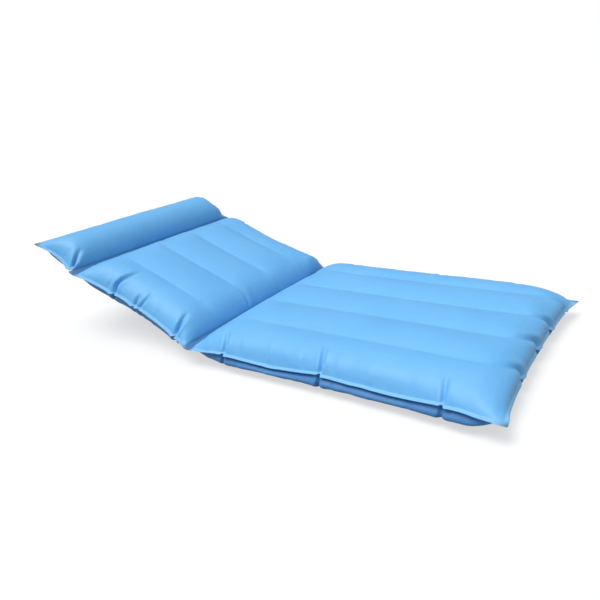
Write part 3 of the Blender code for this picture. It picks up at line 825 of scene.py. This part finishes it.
def coated_nylon(name, light, deep, pale_rubs_and_rim_highlight, tip, rough=0.44):
    n = Nodes(name)
    uv = n.add("UVMap", uv_map="cloth").outputs["UV"]
    # the cover's colour attribute: the rim (paler, partly a painted highlight), the corner tips, and painted shade
    # beside the folds
    wear = n.add("VertexColor", layer_name="wear").outputs["Color"]
    parts = n.add("SeparateColor", {"Color": wear})
    rim, tips, painted_fold_shade = parts.outputs[0], parts.outputs[1], parts.outputs[2]
    # colour: uneven coating, thread by thread and hand by hand
    broad = n.remap(n.noise(uv, 5.0, 3.0, 0.55, 0.4), 0.30, 0.70, 0.0, 1.0)
    fine = n.remap(n.noise(uv, 70.0, 3.0, 0.6), 0.30, 0.70, 0.0, 1.0)
    share = n.maths("ADD", n.maths("MULTIPLY", broad, 0.62), n.maths("MULTIPLY", fine, 0.38), True)
    colour = n.mix(share, (*deep, 1), (*light, 1))
    threads = weave(n, uv, 0.0016)
    colour = n.mix(n.remap(threads, 0.0, 1.0, 0.06, 0.0), colour, (*[c * 0.55 for c in deep], 1))
    # scuffs: short pale rubs that run with the cloth
    rub = n.noise(scaled(n, uv, 9.0, 60.0, 0.5), 1.0, 4.0, 0.65, 0.3)
    rub = n.remap(rub, 0.62, 0.80, 0.0, 0.16)
    colour = n.mix(rub, colour, (*pale_rubs_and_rim_highlight, 1))
    # the rim: two coats fused and paler on its pressed dots, partly its own tone and partly a painted highlight along
    # the welded edge
    dots = n.add("TexVoronoi", {"Vector": scaled(n, uv, 1, 1, 0.785), "Scale": 300.0, "Randomness": 0.0}).outputs[
        "Distance"
    ]
    pressed = n.remap(dots, 0.20, 0.52, 0.0, 1.0)
    edge = n.maths("MULTIPLY", rim, n.remap(pressed, 0, 1, 0.95, 0.55))
    colour = n.mix(n.maths("MULTIPLY", edge, 0.62), colour, (*pale_rubs_and_rim_highlight, 1))
    # painted shade: the cloth beside a fold's weld is darkened for the crease's shade
    colour = n.mix(n.maths("MULTIPLY", painted_fold_shade, 0.75), colour, (*[c * 0.42 for c in deep], 1))
    colour = n.mix(n.maths("MULTIPLY", tips, 0.85), colour, (*tip, 1))
    n.to("Base Color", colour)
    # finish
    sheen_map = n.noise(uv, 26.0, 4.0, 0.6, 0.2)
    gloss = n.remap(sheen_map, 0.25, 0.75, rough - 0.07, rough + 0.08)
    gloss = n.maths("SUBTRACT", gloss, n.maths("MULTIPLY", rim, 0.08))
    n.to("Roughness", n.maths("ADD", gloss, n.maths("MULTIPLY", rub, 0.7)))
    n.to("Specular IOR Level", 0.34)
    n.to("Sheen Weight", 0.07)
    n.to("Sheen Roughness", 0.45)
    n.to("Sheen Tint", (0.75, 0.88, 1.0, 1))
    n.to("Coat Weight", 0.05)
    n.to("Coat Roughness", 0.42)
    # relief: soft puckers in the skin, thread, and the pressed rim
    soft = n.noise(scaled(n, uv, 14.0, 30.0, 0.35), 1.0, 3.0, 0.5, 0.6)
    low = n.bump(soft, 0.45, 0.0020)
    crinkle = n.noise(uv, 120.0, 4.0, 0.6, 0.5)
    mid = n.bump(crinkle, 0.28, 0.0004, low)
    thread = n.bump(threads, 0.35, 0.00012, mid)
    n.to("Normal", n.bump(n.maths("MULTIPLY", n.maths("SUBTRACT", 1.0, pressed), rim), 0.7, 0.0005, thread))
    return n.material


def fold_weld_material():
    n = Nodes("fold_weld_pressed")
    uv = n.add("UVMap", uv_map="cloth").outputs["UV"]
    mottle = n.noise(uv, 60.0, 4.0, 0.6, 0.3)
    # dark navy: partly the pressed weld's own tone and partly painted shade for the dark crease at the fold
    colour = n.mix(n.remap(mottle, 0.3, 0.7, 0, 1), (0.042, 0.170, 0.400, 1), (0.058, 0.215, 0.480, 1))
    bars = n.add("TexWave", {"Vector": scaled(n, uv, 0.0, 520.0), "Scale": 0.31831}, bands_direction="Y").outputs["Fac"]
    colour = n.mix(n.remap(bars, 0.0, 1.0, 0.22, 0.0), colour, (0.030, 0.140, 0.380, 1))
    n.to("Base Color", colour)
    n.to("Roughness", n.remap(mottle, 0.3, 0.7, 0.34, 0.50))
    n.to("Specular IOR Level", 0.45)
    n.to("Sheen Weight", 0.10)
    grain = n.bump(n.noise(uv, 900.0, 3.0, 0.6), 0.30, 0.0002)
    n.to("Normal", n.bump(bars, 0.55, 0.0004, grain))
    return n.material


def web_material():
    n = Nodes("nylon_web_plain")
    at = n.add("TexCoord").outputs["Object"]
    mottle = n.noise(at, 30.0, 4.0, 0.6)
    colour = n.mix(n.remap(mottle, 0.3, 0.7, 0, 1), (0.10, 0.34, 0.72, 1), (0.16, 0.44, 0.84, 1))
    cloth = n.add("TexWave", {"Vector": at, "Scale": 190.0, "Distortion": 0.6}, bands_direction="X").outputs["Fac"]
    cross = n.add("TexWave", {"Vector": at, "Scale": 190.0, "Distortion": 0.6}, bands_direction="Z").outputs["Fac"]
    colour = n.mix(n.remap(cloth, 0, 1, 0.12, 0.0), colour, (0.05, 0.18, 0.45, 1))
    n.to("Base Color", colour)
    n.to("Roughness", n.remap(mottle, 0.3, 0.7, 0.52, 0.70))
    n.to("Sheen Weight", 0.15)
    n.to("Normal", n.bump(n.maths("ADD", cloth, cross), 0.4, 0.0002))
    return n.material


def plastic(name, light, deep, rough, grain=260.0, depth=0.00012):
    n = Nodes(name)
    at = n.add("TexCoord").outputs["Object"]
    mottle = n.noise(at, 110.0, 3.0, 0.55)
    colour = n.mix(n.remap(mottle, 0.3, 0.7, 0, 1), (*deep, 1), (*light, 1))
    specks = n.remap(n.noise(at, 900.0, 2.0, 0.5), 0.66, 0.78, 0.0, 0.25)
    colour = n.mix(specks, colour, (*[c * 0.6 for c in deep], 1))
    n.to("Base Color", colour)
    n.to("Roughness", n.remap(n.noise(at, 240.0, 4.0, 0.6), 0.3, 0.7, rough - 0.06, rough + 0.09))
    n.to("Specular IOR Level", 0.5)
    low = n.bump(n.noise(at, grain * 12, 3.0, 0.6), 0.35, depth)
    n.to("Normal", n.bump(n.noise(at, grain, 2.0, 0.5), 0.2, depth * 2, low))
    return n.material


def floor_material():
    n = Nodes("floor_pale")
    at = n.add("TexCoord").outputs["Object"]
    tone = n.noise(at, 1.2, 4.0, 0.6)
    pale = n.mix(n.remap(tone, 0.3, 0.7, 0, 1), (0.935, 0.928, 0.920, 1), (0.950, 0.943, 0.935, 1))
    # as in a studio with a dark room behind, the floor throws back less light than it shows
    seen = n.add("LightPath").outputs["Is Camera Ray"]
    n.to("Base Color", n.mix(seen, (0.44, 0.44, 0.44, 1), pale))
    n.to("Roughness", n.remap(tone, 0.3, 0.7, 0.72, 0.80))
    n.to("Specular IOR Level", 0.2)
    n.to("Normal", n.bump(n.noise(at, 60.0, 4.0, 0.6), 0.05, 0.0006))
    glow = n.add("Emission", {"Color": (1, 1, 1, 1), "Strength": 1.0})
    both = n.add("MixShader", {0: n.maths("MULTIPLY", seen, 0.62), 1: n.shader.outputs["BSDF"], 2: glow.outputs["Emission"]})
    end = next(x for x in n.tree.nodes if x.type == "OUTPUT_MATERIAL")
    n.tree.links.new(both.outputs["Shader"], end.inputs["Surface"])
    return n.material


# ---------------------------------------------------------------------------- building

TOP = coated_nylon("coated_nylon_upper", (0.160, 0.470, 0.830), (0.132, 0.430, 0.790), (0.310, 0.610, 0.900), (0.085, 0.095, 0.115))
# painted shade: the underside's nylon is a darker copy of the upper one, for the shade beneath the cushion
BELOW_PAINTED_SHADE = coated_nylon("coated_nylon_lower", (0.070, 0.250, 0.560), (0.058, 0.222, 0.515), (0.200, 0.440, 0.740), (0.075, 0.085, 0.100), 0.50)
WELD = fold_weld_material()
WEB = web_material()
STEM = plastic("valve_stem_moulded", (0.80, 0.83, 0.85), (0.72, 0.76, 0.79), 0.38)
WASHER = plastic("valve_washer_rubber", (0.060, 0.062, 0.066), (0.040, 0.042, 0.045), 0.62, 420.0)
CAP = plastic("valve_cap_moulded", (0.86, 0.875, 0.885), (0.79, 0.81, 0.83), 0.34)

for sec in (LEG, BACK, PILLOW):
    made = cover(sec, (TOP, BELOW_PAINTED_SHADE))
    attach(made, f"{sec.name}_section")
    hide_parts(f"{sec.name}_top_sheet", f"{sec.name}_bottom_sheet")
    add_cap(sec, CAP)

for name, first, second, a, b in (
    ("back_fold", LEG, BACK, "leg_section", "back_section"),
    ("pillow_fold", BACK, PILLOW, "back_section", "pillow_section"),
):
    strip = fold_strip(f"{name}_strip", first, second, WELD)
    start = first_side(first, second, 0.0028, 0.0, 0.0)
    stop = second.world(np.array([0.0028, 0.0, 0.0]))
    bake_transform(strip)
    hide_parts(f"{name}_weld")

for node, obj in frame["nodes"].items():
    finish = WEB if "_web_" in node else STEM if "stem" in node else WASHER if "washer" in node else None
    if finish is not None:
        for slot in obj.material_slots:
            slot.material = finish

# ---------------------------------------------------------------------------- floor, light, camera

size = 40.0
bm = bmesh.new()
grid = bmesh.ops.create_grid(bm, x_segments=8, y_segments=8, size=size)
floor_mesh = bpy.data.meshes.new("floor")
bm.to_mesh(floor_mesh)
bm.free()
floor_mesh.materials.append(floor_material())
floor = bpy.data.objects.new("floor", floor_mesh)
floor.location = (0, 0, CAD_BOX[0][2] - 0.0005)
bpy.context.scene.collection.objects.link(floor)


def soft_sun(name, direction, strength, spread, colour=(1, 1, 1)):
    """A wide, even light from one direction, as from a large softbox far away."""
    data = bpy.data.lights.new(name, "SUN")
    data.energy, data.angle, data.color = strength, math.radians(spread), colour
    light = bpy.data.objects.new(name, data)
    light.rotation_mode = "QUATERNION"
    light.rotation_quaternion = (-Vector(direction)).to_track_quat("-Z", "Y")
    light.location = Vector(direction) * 3
    bpy.context.scene.collection.objects.link(light)
    return light


soft_sun("key", (-0.17, -0.36, 0.92), 2.35, 38.0)
soft_sun("top", (-0.10, 0.05, 0.98), 0.80, 70.0)

bpy.context.scene.view_settings.view_transform = "Standard"  # colours as the record states them
world = bpy.data.worlds.new("studio")
bpy.context.scene.world = world
world.use_nodes = True
tree = world.node_tree
background = tree.nodes.get("Background") or tree.nodes.new("ShaderNodeBackground")
background.inputs["Color"].default_value = (0.84, 0.92, 1.0, 1)
background.inputs["Strength"].default_value = 0.34
paper = tree.nodes.new("ShaderNodeBackground")  # what the camera sees behind the floor
paper.inputs["Color"].default_value = (1.0, 1.0, 1.0, 1)
paper.inputs["Strength"].default_value = 1.0
seen = tree.nodes.new("ShaderNodeLightPath")
both = tree.nodes.new("ShaderNodeMixShader")
tree.links.new(seen.outputs["Is Camera Ray"], both.inputs[0])
tree.links.new(background.outputs[0], both.inputs[1])
tree.links.new(paper.outputs[0], both.inputs[2])
output = next(x for x in tree.nodes if x.type == "OUTPUT_WORLD")
tree.links.new(both.outputs[0], output.inputs["Surface"])

# the camera that was fitted to the photo's corner points
azimuth, elevation, distance, roll = 0.609766, 0.353267, 2.155256, -0.088117
back = Vector((math.sin(azimuth) * math.cos(elevation), -math.cos(azimuth) * math.cos(elevation), math.sin(elevation)))
target = Vector((BACK_FOLD[0] + 0.194746, 0.0, BACK_FOLD[2] + 0.056752))
right = (-back).cross(Vector((0, 0, 1))).normalized()
up = right.cross(-back)
c, s = math.cos(roll), math.sin(roll)
right, up = c * right + s * up, -s * right + c * up
lens = bpy.data.cameras.new("camera")
lens.sensor_fit, lens.sensor_width, lens.lens = "HORIZONTAL", 36.0, 36.0 * 582.993 / 600
lens.shift_x, lens.shift_y = (300 - 307.296) / 600, (295.721 - 300) / 600
lens.clip_end = 200.0
camera = bpy.data.objects.new("camera", lens)
spot = target + back * distance
camera.matrix_world = Matrix((
    (right.x, up.x, back.x, spot.x),
    (right.y, up.y, back.y, spot.y),
    (right.z, up.z, back.z, spot.z),
    (0, 0, 0, 1),
))
bpy.context.scene.collection.objects.link(camera)
bpy.context.scene.camera = camera
bpy.context.view_layer.update()
